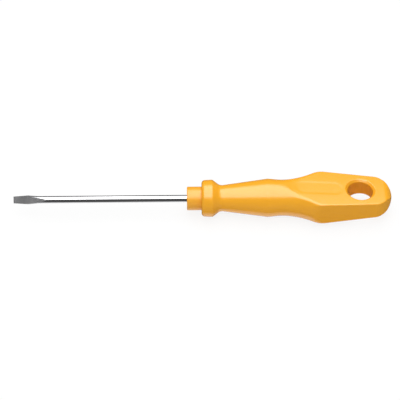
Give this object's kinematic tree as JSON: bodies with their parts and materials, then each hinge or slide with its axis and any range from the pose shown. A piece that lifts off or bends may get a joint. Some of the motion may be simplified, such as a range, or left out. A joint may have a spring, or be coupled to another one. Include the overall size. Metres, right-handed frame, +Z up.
{
  "type": "slotted screwdriver",
  "caption": "Slim slotted screwdriver with a flared, ground steel tip and a waisted plastic handle, round at the grip and flat at the palm, with a hanging hole.",
  "frame": {"origin": "on the tool's axis, in the plane of the collar's front face, where the blade leaves the handle", "axes": "+X along the axis towards the butt, so the blade points to -X; +Z out of the palm's upper flat, along the hanging hole; +Y across the palm, to the left when looking from the tip to the butt with +Z up"},
  "size_m": [0.1634, 0.0222, 0.0165],
  "materials": {
    "blade_steel": "polished nickel-chrome plating, with a matt ground tip",
    "core_plastic": "moulded, half gloss, warm yellow-orange",
    "shell_plastic": "moulded, half gloss, warm yellow-orange"
  },
  "bodies": {
    "root": {"blade": "blade_steel", "handle_core": "core_plastic", "handle_shell": "shell_plastic"}
  },
  "joints": []
}
